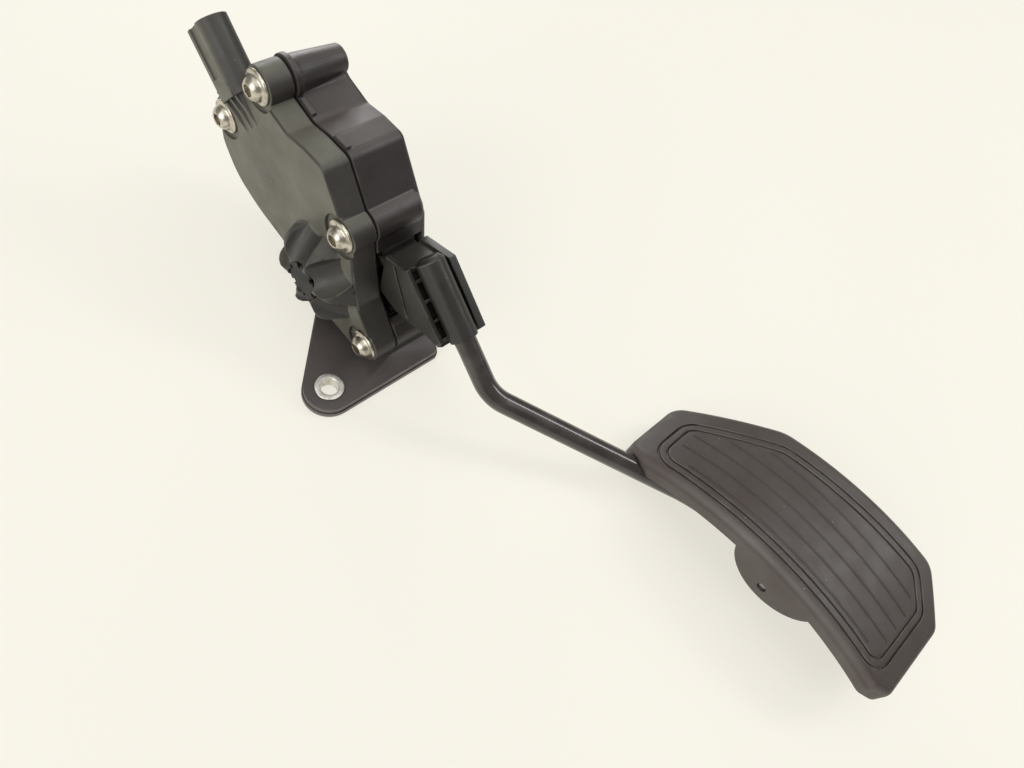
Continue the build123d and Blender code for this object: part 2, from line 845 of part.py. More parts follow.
def make_pad_ribs():
    """Ribs under the skin, and the saddle that takes the rod's end."""
    length = pad_far_y - pad_near_y
    width = pad_wide_x - pad_side_x
    middle_x = (pad_wide_x + pad_side_x) / 2
    middle_y = (pad_far_y + pad_near_y) / 2
    ribs = Part()
    for x in [pad_rod_x - saddle_w / 2, pad_rod_x + saddle_w / 2 - pad_rib_t, pad_rod_x + pad_side_rib]:
        ribs += Pos(x + pad_rib_t / 2, middle_y, pad_top_z / 2) * Box(pad_rib_t, length, pad_top_z)
    for along in pad_cross_ribs:
        ribs += Pos(middle_x, lug_y + along, pad_top_z / 2) * Box(width, pad_rib_t, pad_top_z)
    ribs = ribs & (pad_prism(pad_skin / 2) & bow(pad_skin / 2))
    ribs -= bow(pad_skirt - pad_rib_rise)
    saddle_mid = (saddle_front + saddle_back) / 2
    saddle_h = pad_top_z - saddle_low
    saddle = Box(saddle_w, saddle_front - saddle_back, saddle_h)
    saddle = Pos(pad_rod_x, saddle_mid, saddle_low + saddle_h / 2) * saddle
    return ribs + (saddle & bow(pad_skin / 2))


def lug_side_x():
    """The inner face of the lug on the rod's far side, as far from the rod as the outer one."""
    return 2 * pad_rod_x - pad_side_x - lug_t


def pin_z():
    share = (lug_y - rod_low_y) / (rod_end_y - rod_low_y)
    return rod_low_z + share * (rod_end_z - rod_low_z)


def make_pin():
    x1 = lug_side_x() + lug_t
    return bar(lug_y, pin_z(), pin_d / 2, pad_side_x + pin_recess, x1 - pin_recess)


def make_pad():
    pad = pad_prism(0) & bow(0)
    pad -= bow(pad_skirt)
    pad = fillet(pad.faces().sort_by(Axis.Z)[-1].edges(), pad_edge_r)
    pad -= pad_prism(pad_skin) & bow(pad_skin)
    for inset in border_insets:
        ring = pad_prism(inset, border_outline) - pad_prism(inset + groove_w, border_outline)
        pad -= ring - bow(groove_deep)
    for x, drop in [(pad_side_x, pad_edge_r), (lug_side_x(), pad_skin / 2)]:
        pad += bar(lug_y, lug_z, lug_r, x, x + lug_t) & bow(drop)
    pad += make_pad_ribs()
    pad -= bar(lug_y, pin_z(), pin_d / 2, pad_side_x, lug_side_x() + lug_t)
    return pad - make_rod()


def make_drilled_rod():
    return make_rod() - make_pin()


nodes = {
    "main_housing": make_housing(),
    "side_cover": make_cover(),
    "cover_gasket": make_gasket(),
    "cover_screws": make_screws(),
    "hub_cap": make_cap(),
    "pivot_bush_left": make_pivot_bush(left_bush_x0, inner_face_x),
    "pivot_bush_right": make_pivot_bush(right_bush_x0, right_bush_x1),
    "pivot_shaft": make_shaft(),
    "shaft_ring": make_ring(),
    "friction_washer": make_friction_washer(),
    "sensor_rotor": make_rotor(),
    "rotor_magnets": make_magnets(),
    "sensor_board": make_board(),
    "sensor_chips": make_chips(),
    "connector_terminals": make_terminals(),
    "idle_stop_bumper": make_idle_bumper(),
    "full_stop_bumper": make_full_bumper(),
    "mount_bush_lower": make_bolt_bush(0, 0),
    "mount_bush_upper": make_bolt_bush(upper_ear_x, upper_ear_y),
    "lever_carrier": make_carrier(),
    "spring_seat": make_seat(),
    "return_spring_outer": make_spring(outer_spring_r, outer_wire_d, outer_turns),
    "return_spring_inner": make_spring(inner_spring_r, inner_wire_d, inner_turns),
    "pedal_rod": make_drilled_rod(),
    "pedal_pad": make_pad(),
    "pad_pin": make_pin(),
}

os.makedirs("parts", exist_ok=True)
for name, solid in nodes.items():
    export_step(solid, f"parts/{name}.step")
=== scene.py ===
from math import cos, hypot, pi, radians, sin, sqrt

import bmesh
import bpy
from mathutils import Matrix, Vector
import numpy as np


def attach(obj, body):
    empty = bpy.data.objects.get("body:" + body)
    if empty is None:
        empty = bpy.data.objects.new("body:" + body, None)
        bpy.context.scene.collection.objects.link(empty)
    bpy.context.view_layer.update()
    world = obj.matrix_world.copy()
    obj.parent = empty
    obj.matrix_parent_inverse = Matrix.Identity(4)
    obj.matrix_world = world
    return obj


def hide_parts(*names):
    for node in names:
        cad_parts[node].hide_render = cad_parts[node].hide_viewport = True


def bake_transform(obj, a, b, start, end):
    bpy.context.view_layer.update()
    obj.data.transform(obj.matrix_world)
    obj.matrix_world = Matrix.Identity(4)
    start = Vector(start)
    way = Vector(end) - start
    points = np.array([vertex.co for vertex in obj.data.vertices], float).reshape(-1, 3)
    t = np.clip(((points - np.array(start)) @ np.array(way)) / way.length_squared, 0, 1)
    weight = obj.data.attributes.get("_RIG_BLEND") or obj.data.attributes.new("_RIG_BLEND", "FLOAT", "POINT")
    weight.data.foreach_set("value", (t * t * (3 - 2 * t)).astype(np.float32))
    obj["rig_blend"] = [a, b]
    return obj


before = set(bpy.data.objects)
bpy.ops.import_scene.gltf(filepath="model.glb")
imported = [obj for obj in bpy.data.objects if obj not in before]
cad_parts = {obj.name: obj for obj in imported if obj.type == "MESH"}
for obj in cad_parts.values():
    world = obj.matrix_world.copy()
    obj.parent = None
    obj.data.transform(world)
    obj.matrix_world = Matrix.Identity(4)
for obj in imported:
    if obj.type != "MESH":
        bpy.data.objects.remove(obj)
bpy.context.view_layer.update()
MM = 0.001

# Main housing with the mounting flange: one moulding of glass-filled nylon, satin black.
# It comes out of a lightly spark-eroded mould, so its walls have a fine grain and its edges a small radius.
# Two bolts hold its flange to the bulkhead.
flange_t = 5.0


def linear(hex_code):
    """An sRGB hex colour as linear RGBA."""
    channels = [int(hex_code[i : i + 2], 16) / 255 for i in (1, 3, 5)]
    return [c / 12.92 if c <= 0.04045 else ((c + 0.055) / 1.055) ** 2.4 for c in channels] + [1.0]


def add_node(tree, kind, inputs=(), **settings):
    """Adds one node. Settings are its own options, and each input is a value or the output that feeds it."""
    node = tree.nodes.new(kind)
    for option, value in settings.items():
        setattr(node, option, value)
    for socket, value in dict(inputs).items():
        if isinstance(value, bpy.types.NodeSocket):
            tree.links.new(value, node.inputs[socket])
        else:
            node.inputs[socket].default_value = value
    return node


def new_finish(name):
    """A new material, its node tree, its shader and the coordinates that its patterns follow."""
    material = bpy.data.materials.new(name)
    material.use_nodes = True
    tree = material.node_tree
    place = add_node(tree, "ShaderNodeTexCoord").outputs["Object"]
    return material, tree, tree.nodes["Principled BSDF"], place


def black_moulding(name, shade, bloom, rubbed, dust_and_sheen, dust_and_sheen_share, rough, grain_mm):
    """Black moulded plastic: a cloudy grey bloom, rubbed edges, dust with a painted sheen on the marked
    faces, and the mould's grain.
    """
    cloud_mm = 18
    patch_mm = 6
    speck_mm = 8
    grain_rise_mm = 0.12
    pale_speck = "#C9C5B8"
    material, tree, shader, place = new_finish(name)
    cloud = add_node(
        tree, "ShaderNodeTexNoise", {"Vector": place, "Scale": 1 / (cloud_mm * MM), "Detail": 5.0}
    )
    cloud_share = add_node(
        tree,
        "ShaderNodeMapRange",
        {"Value": cloud.outputs[0], "From Min": 0.4, "From Max": 0.7, "To Max": 0.85},
    )
    body = add_node(
        tree,
        "ShaderNodeMix",
        {0: cloud_share.outputs[0], 6: linear(shade), 7: linear(bloom)},
        data_type="RGBA",
    )
    # The marked faces take the dust colour: partly real dust, partly a painted sheen and a painted reflection
    # of the pale table.
    side = add_node(tree, "ShaderNodeAttribute", attribute_name="dust_and_sheen")
    dust_and_sheen_amount = add_node(
        tree,
        "ShaderNodeMapRange",
        {
            "Value": cloud.outputs[0],
            "From Min": 0.3,
            "From Max": 0.7,
            "To Min": 0.7 * dust_and_sheen_share,
            "To Max": 1.2 * dust_and_sheen_share,
        },
    )
    dust_and_sheen_film = add_node(
        tree, "ShaderNodeMath", {0: side.outputs["Fac"], 1: dust_and_sheen_amount.outputs[0]}, operation="MULTIPLY"
    )
    dust_and_sheen_body = add_node(
        tree, "ShaderNodeMix", {0: dust_and_sheen_film.outputs[0], 6: body.outputs[2], 7: linear(dust_and_sheen)}, data_type="RGBA"
    )
    edge = add_node(tree, "ShaderNodeAttribute", attribute_name="edge")
    patch = add_node(
        tree, "ShaderNodeTexNoise", {"Vector": place, "Scale": 1 / (patch_mm * MM), "Detail": 6.0}
    )
    patch_share = add_node(
        tree,
        "ShaderNodeMapRange",
        {"Value": patch.outputs[0], "From Min": 0.42, "From Max": 0.62, "To Min": 0.1},
    )
    rub = add_node(
        tree, "ShaderNodeMath", {0: edge.outputs["Fac"], 1: patch_share.outputs[0]}, operation="MULTIPLY"
    )
    rubbed_body = add_node(
        tree, "ShaderNodeMix", {0: rub.outputs[0], 6: dust_and_sheen_body.outputs[2], 7: linear(rubbed)}, data_type="RGBA"
    )
    speck = add_node(tree, "ShaderNodeTexVoronoi", {"Vector": place, "Scale": 1 / (speck_mm * MM)})
    speck_share = add_node(
        tree,
        "ShaderNodeMapRange",
        {
            "Value": speck.outputs["Distance"],
            "From Min": 0.015,
            "From Max": 0.035,
            "To Min": 0.45,
            "To Max": 0.0,
        },
    )
    speckled = add_node(
        tree,
        "ShaderNodeMix",
        {0: speck_share.outputs[0], 6: rubbed_body.outputs[2], 7: linear(pale_speck)},
        data_type="RGBA",
    )
    tree.links.new(speckled.outputs[2], shader.inputs["Base Color"])
    dull = add_node(
        tree,
        "ShaderNodeMapRange",
        {
            "Value": patch.outputs[0],
            "From Min": 0.3,
            "From Max": 0.7,
            "To Min": rough - 0.06,
            "To Max": rough + 0.07,
        },
    )
    tree.links.new(dull.outputs[0], shader.inputs["Roughness"])
    # The real grain is about 0.1 mm and would not show, so it is drawn coarser.
    grain = add_node(
        tree, "ShaderNodeTexNoise", {"Vector": place, "Scale": 1 / (grain_mm * MM), "Detail": 2.0}
    )
    bump = add_node(
        tree, "ShaderNodeBump", {"Height": grain.outputs[0], "Strength": 0.25, "Distance": grain_rise_mm * MM}
    )
    tree.links.new(bump.outputs[0], shader.inputs["Normal"])
    return material


def room_beside(edge, face, sharp_cos, limit):
    """How far a face and the smooth ones after it reach from an edge, up to the limit."""
    start = (edge.verts[0].co + edge.verts[1].co) / 2
    along = (edge.verts[1].co - edge.verts[0].co).normalized()
    way = face.normal.cross(along)
    if way.dot(face.calc_center_median() - start) < 0:
        way = -way
    gone = 0.0
    while gone < limit:
        side = face.normal.cross(way)
        best = None
        for other in face.edges:
            if other is edge:
                continue
            a = (other.verts[0].co - start).dot(side)
            b = (other.verts[1].co - start).dot(side)
            if a * b > 0 or a == b:
                continue
            point = other.verts[0].co.lerp(other.verts[1].co, a / (a - b))
            reach = (point - start).dot(way)
            if reach > 0 and (best is None or reach < best[0]):
                best = (reach, other, point)
        if best is None:
            return limit
        gone += best[0]
        edge = best[1]
        beyond = [f for f in edge.link_faces if f is not face]
        if len(beyond) != 1 or face.normal.dot(beyond[0].normal) < sharp_cos:
            return gone
        face = beyond[0]
        start = best[2]
        way = (way - face.normal * way.dot(face.normal)).normalized()
    return limit


def folds_in(work):
    """The points where one face is turned over onto the next one."""
    fold_deg = 150
    return [
        point.co.copy()
        for edge in work.edges
        if len(edge.link_faces) == 2 and edge.calc_face_angle(0.0) > radians(fold_deg)
        for point in edge.verts
    ]


def reaches(edge, point, distance):
    """Whether a point is nearer to an edge than this distance."""
    start = edge.verts[0].co
    along = edge.verts[1].co - start
    share = min(1.0, max(0.0, (point - start).dot(along) / max(along.length_squared, 1e-18)))
    return (start + along * share - point).length < distance


def rounded(plain, edge_mm):
    """A copy of a mesh with its outer edges rounded, and the faces that this has made.

    An edge stays sharp where the face beside it is too narrow to be rounded or would fold over.
    """
    sharp_deg = 28
    room_needed = 2.4
    fold_reach = 2
    same_point_mm = 0.001
    tries = 6
    sharp_cos = cos(radians(sharp_deg))
    need = room_needed * edge_mm * MM
    sharp = [
        place
        for place, edge in enumerate(plain.edges)
        if len(edge.link_faces) == 2
        and edge.is_convex
        and edge.calc_face_angle() > radians(sharp_deg)
        and all(room_beside(edge, face, sharp_cos, need) >= need for face in edge.link_faces)
    ]
    plain.edges.ensure_lookup_table()
    plain.normal_update()
    old_folds = folds_in(plain)
    for attempt in range(tries):
        work = plain.copy()
        work.edges.ensure_lookup_table()
        bevel = bmesh.ops.bevel(
            work,
            geom=[work.edges[place] for place in sharp],
            offset=edge_mm * MM,
            segments=2,
            profile=0.5,
            affect="EDGES",
            clamp_overlap=False,
        )
        work.normal_update()
        new_folds = [
            point
            for point in folds_in(work)
            if all((point - old).length > same_point_mm * MM for old in old_folds)
        ]
        if not new_folds or attempt == tries - 1:
            break
        sharp = [
            place
            for place in sharp
            if not any(reaches(plain.edges[place], point, fold_reach * edge_mm * MM) for point in new_folds)
        ]
        work.free()
    return work, bevel["faces"]


def put(name, data):
    """An object of this mesh, lamp or camera, in the scene."""
    thing = bpy.data.objects.new(name, data)
    bpy.context.scene.collection.objects.link(thing)
    return thing


def dressed(node_name, piece_name, body, material, edge_mm=0.3, painted_reflection_below=0.0, top_dust_and_sheen=1.0):
    """A piece in the place of a CAD node: its faces joined up, its outer edges rounded and marked as edges.

    Faces that look up or to the -X side are marked for dust and a painted sheen. Walls lower than the height
    given in mm are marked for a painted reflection of the pale table. The top share is the share of this mark
    on what looks up.
    """
    merge_mm = 0.002
    flat_deg = 0.4
    crease_deg = 40
    wall_lean = 0.5
    low_wall_reflection = 2.2
    side_falloff = 8
    top_falloff = 6
    work = bmesh.new()
    work.from_mesh(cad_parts[node_name].data)
    bmesh.ops.remove_doubles(work, verts=work.verts, dist=merge_mm * MM)
    bmesh.ops.dissolve_limit(work, angle_limit=radians(flat_deg), verts=work.verts, edges=work.edges)
    work.faces.layers.float.new("edge")
    work.faces.layers.float.new("dust_and_sheen")
    if edge_mm > 0:
        plain = work
        work, edge_faces = rounded(plain, edge_mm)
        plain.free()
        mark = work.faces.layers.float["edge"]
        for face in edge_faces:
            face[mark] = 1.0
    bmesh.ops.triangulate(work, faces=[f for f in work.faces if len(f.verts) > 4])
    # Painted light: the dust mark is also a painted sheen on faces to -X and up, and a painted reflection of
    # the table on low walls.
    dust_and_sheen_layer = work.faces.layers.float["dust_and_sheen"]
    for face in work.faces:
        low_wall = face.calc_center_median().z < painted_reflection_below * MM and abs(face.normal.z) < wall_lean
        wall_reflection = low_wall_reflection if low_wall else 0.0
        on_side = max(0.0, -face.normal.x) ** side_falloff
        on_top = top_dust_and_sheen * max(0.0, face.normal.z) ** top_falloff
        face[dust_and_sheen_layer] = max(wall_reflection, on_side, on_top)
    for layer in list(work.loops.layers.uv.values()):
        work.loops.layers.uv.remove(layer)
    mesh = bpy.data.meshes.new(piece_name)
    work.to_mesh(mesh)
    work.free()
    mesh.materials.clear()
    mesh.materials.append(material)
    mesh.shade_smooth()
    mesh.set_sharp_from_angle(angle=radians(crease_deg))
    piece = put(piece_name, mesh)
    weighted = piece.modifiers.new("even_shading", "WEIGHTED_NORMAL")
    weighted.keep_sharp = True
    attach(piece, body)
    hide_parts(node_name)
    return piece


# Glass-filled nylon, moulded: nearly black and satin, with a soft highlight, and dust with a painted sheen on
# what faces up or to the -X side; its low flange walls get a painted reflection of the table.
housing_nylon = black_moulding(
    "housing_nylon_satin",
    shade="#241F1F",
    bloom="#2E2928",
    rubbed="#4D4643",
    dust_and_sheen="#766E6B",
    dust_and_sheen_share=0.36,
    rough=0.42,
    grain_mm=0.7,
)
dressed(
    "main_housing", "housing_shell", "housing", housing_nylon, painted_reflection_below=flange_t
)

# Side cover: the second moulding, in the same nylon but with a duller face, which is painted grey-green with
# dust and a painted reflection of the pale table.
# It carries the fluted bearing hub and the connector shroud, and four screws hold it to the housing.

# The same nylon with a coarser mould finish: its broad face is painted grey-green, partly dust and partly a
# painted reflection of the pale table.
cover_nylon = black_moulding(
    "cover_nylon_dull",
    shade="#2A2725",
    bloom="#36322F",
    rubbed="#55514A",
    dust_and_sheen="#7A796A",
    dust_and_sheen_share=0.56,
    rough=0.46,
    grain_mm=0.7,
)
dressed("side_cover", "cover_shell", "housing", cover_nylon)

# Seal between the two shells: a flat ring of black nitrile rubber, cut from sheet.
# The screws press it into the seam.


def soft_rubber(name, shade, bloom):
    """Black rubber: matt, with a cloudy grey bloom and a fine uneven skin."""
    cloud_mm = 5
    skin_mm = 0.5
    skin_rise_mm = 0.1
    material, tree, shader, place = new_finish(name)
    cloud = add_node(
        tree, "ShaderNodeTexNoise", {"Vector": place, "Scale": 1 / (cloud_mm * MM), "Detail": 5.0}
    )
    body = add_node(
        tree, "ShaderNodeMix", {0: cloud.outputs[0], 6: linear(shade), 7: linear(bloom)}, data_type="RGBA"
    )
    tree.links.new(body.outputs[2], shader.inputs["Base Color"])
    shader.inputs["Roughness"].default_value = 0.82
    skin = add_node(tree, "ShaderNodeTexNoise", {"Vector": place, "Scale": 1 / (skin_mm * MM), "Detail": 3.0})
    bump = add_node(
        tree, "ShaderNodeBump", {"Height": skin.outputs[0], "Strength": 0.3, "Distance": skin_rise_mm * MM}
    )
    tree.links.new(bump.outputs[0], shader.inputs["Normal"])
    return material


# Nitrile rubber: black and matt, so the seam reads as a dark line.
seal_rubber = soft_rubber("nitrile_rubber", shade="#0E0D0D", bloom="#1D1B1A")
dressed("cover_gasket", "cover_seal", "housing", seal_rubber, edge_mm=0)

# Cover screws: four M4.5 button heads with a wide pressed flange and a hex socket.
# They are cold headed steel with bright zinc plate, and sit in counterbores in the cover's face.
screw_seat_x = 16.0
screw_places = [(67.9, 81.7), (87.7, 52.5), (21.7, 58.0), (3.0, 15.5)]
screw_sides = 48
screw_crease_deg = 50
screw_turn_seed = 4
largest_turn = pi / 3
socket_flat = 1.95
# The screw's outline from its tip to the rim of its socket: place along the axis, and radius.
screw_profile = [
    (23.9, 0.0),
    (23.9, 1.8),
    (23.4, 2.25),
    (1.2, 2.25),
    (1.2, 5.75),
    (0.95, 6.0),
    (0.4, 6.0),
    (0.12, 5.85),
    (0.0, 5.55),
    (-0.08, 4.85),
    (-0.3, 4.45),
    (-0.8, 4.28),
    (-1.4, 4.12),
    (-2.0, 3.76),
    (-2.5, 3.3),
    (-2.9, 2.85),
    (-3.1, 2.55),
    (-3.12, 2.42),
]
# The socket from its rim to its floor: place along the axis, and share of the hexagon.
socket_profile = [(-2.95, 1.0), (-1.2, 1.0), (-0.9, 0.0)]


def plated_steel(name, bright, dull, rough, swirl_mm):
    """Plated or bare metal: bright, with cloudy dull spots and fine marks."""
    spot_mm = 2.2
    mark_rise_mm = 0.05
    material, tree, shader, place = new_finish(name)
    shader.inputs["Metallic"].default_value = 1.0
    spots = add_node(
        tree, "ShaderNodeTexNoise", {"Vector": place, "Scale": 1 / (spot_mm * MM), "Detail": 4.0}
    )
    spot_share = add_node(
        tree, "ShaderNodeMapRange", {"Value": spots.outputs[0], "From Min": 0.45, "From Max": 0.72}
    )
    body = add_node(
        tree,
        "ShaderNodeMix",
        {0: spot_share.outputs[0], 6: linear(bright), 7: linear(dull)},
        data_type="RGBA",
    )
    tree.links.new(body.outputs[2], shader.inputs["Base Color"])
    gloss = add_node(
        tree, "ShaderNodeMapRange", {"Value": spots.outputs[0], "To Min": rough - 0.1, "To Max": rough + 0.15}
    )
    tree.links.new(gloss.outputs[0], shader.inputs["Roughness"])
    marks = add_node(
        tree, "ShaderNodeTexNoise", {"Vector": place, "Scale": 1 / (swirl_mm * MM), "Detail": 3.0}
    )
    bump = add_node(
        tree, "ShaderNodeBump", {"Height": marks.outputs[0], "Strength": 0.2, "Distance": mark_rise_mm * MM}
    )
    tree.links.new(bump.outputs[0], shader.inputs["Normal"])
    return material


# Bright zinc plate: warm silver, with sharp lights on the dome and duller spots.
zinc_plate = plated_steel("zinc_plated_steel", bright="#CFC9BB", dull="#948E81", rough=0.28, swirl_mm=0.5)


def ring_of(work, x, radius_at):
    """One ring of points round the X axis; radius_at gives the radius for each angle."""
    angles = [2 * pi * i / screw_sides for i in range(screw_sides)]
    return [
        work.verts.new((x * MM, radius_at(a) * cos(a) * MM, radius_at(a) * sin(a) * MM)) for a in angles
    ]


def hex_radius(angle):
    """The socket's wall, six flats round the axis."""
    return socket_flat / cos((angle + pi / 6) % (pi / 3) - pi / 6)


screw_work = bmesh.new()
rings = []
for x, radius in screw_profile[1:]:
    rings.append(ring_of(screw_work, x, lambda a, r=radius: r))
for x, share in socket_profile[:-1]:
    rings.append(ring_of(screw_work, x, lambda a, s=share: s * hex_radius(a)))
for near, far in zip(rings, rings[1:]):
    for i in range(screw_sides):
        j = (i + 1) % screw_sides
        screw_work.faces.new((near[i], near[j], far[j], far[i]))
for ring, x in ((rings[0], screw_profile[0][0]), (rings[-1], socket_profile[-1][0])):
    tip = screw_work.verts.new((x * MM, 0, 0))
    for i in range(screw_sides):
        screw_work.faces.new((ring[i], ring[(i + 1) % screw_sides], tip))
bmesh.ops.recalc_face_normals(screw_work, faces=screw_work.faces)
screw_mesh = bpy.data.meshes.new("screw_shape")
screw_work.to_mesh(screw_mesh)
screw_work.free()
screw_mesh.shade_smooth()
screw_mesh.set_sharp_from_angle(angle=radians(screw_crease_deg))
screw_shape = put("screw_shape", screw_mesh)


def growth_tree(name, start, sizes, result):
    """A geometry tree with a start mesh, named sizes and a result.

    It comes back with the node that gives its inputs and with the sockets of the sizes.
    """
    tree = bpy.data.node_groups.new(name, "GeometryNodeTree")
    tree.interface.new_socket(start, in_out="INPUT", socket_type="NodeSocketGeometry")
    sockets = [
        tree.interface.new_socket(label, in_out="INPUT", socket_type=kind) for label, kind in sizes.items()
    ]
    tree.interface.new_socket(result, in_out="OUTPUT", socket_type="NodeSocketGeometry")
    return tree, add_node(tree, "NodeGroupInput"), sockets


screw_tree, screw_given, screw_sockets = growth_tree(
    "screws_at_points",
    "Points",
    {"Screw": "NodeSocketObject", "Largest turn": "NodeSocketFloat"},
    "Screws",
)
one_screw = add_node(
    screw_tree, "GeometryNodeObjectInfo", {"Object": screw_given.outputs["Screw"], "As Instance": True}
)
turn = add_node(screw_tree, "FunctionNodeRandomValue", {"Seed": screw_turn_seed}, data_type="FLOAT")
turn_max = next(s for s in turn.inputs if s.name == "Max" and s.type == "VALUE")
screw_tree.links.new(screw_given.outputs["Largest turn"], turn_max)
turn_out = next(s for s in turn.outputs if s.type == "VALUE")
turned = add_node(screw_tree, "ShaderNodeCombineXYZ", {"X": turn_out})
placed = add_node(
    screw_tree,
    "GeometryNodeInstanceOnPoints",
    {
        "Points": screw_given.outputs["Points"],
        "Instance": one_screw.outputs["Geometry"],
        "Rotation": turned.outputs[0],
    },
)
real = add_node(screw_tree, "GeometryNodeRealizeInstances", {"Geometry": placed.outputs[0]})
plated = add_node(
    screw_tree, "GeometryNodeSetMaterial", {"Geometry": real.outputs[0], "Material": zinc_plate}
)
add_node(screw_tree, "NodeGroupOutput", {"Screws": plated.outputs[0]})


def grown(start_mesh, tree, values, name, place=Matrix.Identity(4)):
    """The mesh that a node tree grows from a start mesh, as a plain piece in its place."""
    seed = put(name + "_start", start_mesh)
    growth = seed.modifiers.new("growth", "NODES")
    growth.node_group = tree
    for socket, value in values:
        growth[socket.identifier] = value
    view = bpy.context.evaluated_depsgraph_get()
    mesh = bpy.data.meshes.new_from_object(seed.evaluated_get(view), depsgraph=view)
    mesh.name = name
    mesh.transform(place)
    bpy.data.objects.remove(seed)
    return put(name, mesh)


screw_points = bpy.data.meshes.new("screw_points")
screw_points.from_pydata([(screw_seat_x * MM, y * MM, z * MM) for y, z in screw_places], [], [])
screws = grown(
    screw_points, screw_tree, list(zip(screw_sockets, [screw_shape, largest_turn])), "cover_screw_set"
)
bpy.data.objects.remove(screw_shape)
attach(screws, "housing")
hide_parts("cover_screws")

# Hub cap: a small moulded disc with six notches, in plain black nylon.
# It is pressed into the hub's end and keeps dirt out of the bearing.

# Unfilled nylon: plain black and duller than the hub round it, with hardly any sheen.
cap_nylon = black_moulding(
    "cap_nylon",
    shade="#1A1817",
    bloom="#24211F",
    rubbed="#4A4444",
    dust_and_sheen="#6E6865",
    dust_and_sheen_share=0.06,
    rough=0.5,
    grain_mm=0.7,
)
cap_nylon.node_tree.nodes["Principled BSDF"].inputs["Specular IOR Level"].default_value = 0.2
dressed("hub_cap", "hub_end_cap", "housing", cap_nylon, edge_mm=0.15)

# Bolt bushes: short turned steel tubes, zinc plated, pressed into the flange's two ears.
# The bolts pull up on them and not on the plastic.

# Turned and plated steel: paler and softer than the screws, with fine tool marks.
bush_plate = plated_steel("turned_zinc_steel", bright="#E6E3DC", dull="#BDB9AF", rough=0.36, swirl_mm=0.35)
dressed("mount_bush_lower", "bolt_bush_lower", "housing", bush_plate, edge_mm=0.35)
dressed("mount_bush_upper", "bolt_bush_upper", "housing", bush_plate, edge_mm=0.35)

# Pivot: a ground steel shaft in two dry bearing bushes, with a snap ring and a friction washer.
# The bushes are pressed in, and the shaft turns with the carrier.
# The sensor's rotor, the springs' seat and the pad's pin have the same two finishes.

# Ground steel: a cool grey with a close, even sheen.
ground_steel = plated_steel("ground_steel", bright="#B9BABD", dull="#8C8D90", rough=0.32, swirl_mm=0.25)


def bearing_polymer(name, shade, deep):
    """Filled bearing polymer: straw coloured, dull, with dark flecks of its filler."""
    fleck_mm = 0.6
    fleck_rise_mm = 0.05
    material, tree, shader, place = new_finish(name)
    flecks = add_node(tree, "ShaderNodeTexVoronoi", {"Vector": place, "Scale": 1 / (fleck_mm * MM)})
    fleck_share = add_node(
        tree,
        "ShaderNodeMapRange",
        {"Value": flecks.outputs[0], "From Min": 0.1, "From Max": 0.5, "To Min": 0.6, "To Max": 0.0},
    )
    body = add_node(
        tree,
        "ShaderNodeMix",
        {0: fleck_share.outputs[0], 6: linear(shade), 7: linear(deep)},
        data_type="RGBA",
    )
    tree.links.new(body.outputs[2], shader.inputs["Base Color"])
    shader.inputs["Roughness"].default_value = 0.55
    bump = add_node(
        tree,
        "ShaderNodeBump",
        {"Height": flecks.outputs[0], "Strength": 0.15, "Distance": fleck_rise_mm * MM},
    )
    tree.links.new(bump.outputs[0], shader.inputs["Normal"])
    return material


# Acetal with a dry lubricant: straw coloured and waxy, with dark flecks.
bush_polymer = bearing_polymer("acetal_bearing", shade="#CDBF9C", deep="#8E8062")


def coat_node(node_name, material):
    """Gives a CAD node its finish."""
    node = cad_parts[node_name]
    for slot in node.material_slots:
        slot.material = material


for steel_node in ("pivot_shaft", "shaft_ring", "pad_pin"):
    coat_node(steel_node, ground_steel)
for polymer_node in ("pivot_bush_left", "pivot_bush_right", "friction_washer", "sensor_rotor", "spring_seat"):
    coat_node(polymer_node, bush_polymer)

# Position sensor: a rotor with two magnets on the shaft, and a circuit board with two chips over it.
# The board is green laminate, held on posts in the cover, and its blades run out into the shroud.
track_mm = 6

# Sintered magnet: dark grey metal with a dull, grainy skin.
magnet_ferrite = plated_steel("sintered_magnet", bright="#4A4B4E", dull="#2F3032", rough=0.55, swirl_mm=0.3)
coat_node("rotor_magnets", magnet_ferrite)

# Glass laminate under solder mask: glossy green, with paler bands where copper lies below.
board_laminate, board_tree, board_shader, board_place = new_finish("solder_mask_laminate")
board_turn = add_node(
    board_tree, "ShaderNodeMapping", {"Vector": board_place, "Rotation": (0.0, radians(90), radians(35))}
)
tracks = add_node(
    board_tree,
    "ShaderNodeTexBrick",
    {
        "Vector": board_turn.outputs[0],
        "Color1": linear("#1F5A38"),
        "Color2": linear("#2A6B45"),
        "Mortar": linear("#174A2C"),
        "Scale": 1 / (track_mm * MM),
        "Mortar Size": 0.03,
    },
)
board_tree.links.new(tracks.outputs["Color"], board_shader.inputs["Base Color"])
board_shader.inputs["Roughness"].default_value = 0.3
coat_node("sensor_board", board_laminate)

# Moulded epoxy: a flat, near black grey.
chip_epoxy = soft_rubber("moulded_epoxy", shade="#161617", bloom="#242425")
coat_node("sensor_chips", chip_epoxy)

# Tinned brass: pale metal with the yellow showing through in spots.
tinned_brass = plated_steel("tinned_brass", bright="#DCD3B4", dull="#B8A77C", rough=0.3, swirl_mm=0.4)
coat_node("connector_terminals", tinned_brass)

# Stop bumpers: two moulded blocks of the same black rubber as the seal, which end the pedal's travel.
# They are plugged into pockets in the housing.
dressed("idle_stop_bumper", "idle_bumper", "housing", seal_rubber, edge_mm=0.2)
dressed("full_stop_bumper", "full_bumper", "housing", seal_rubber, edge_mm=0.2)

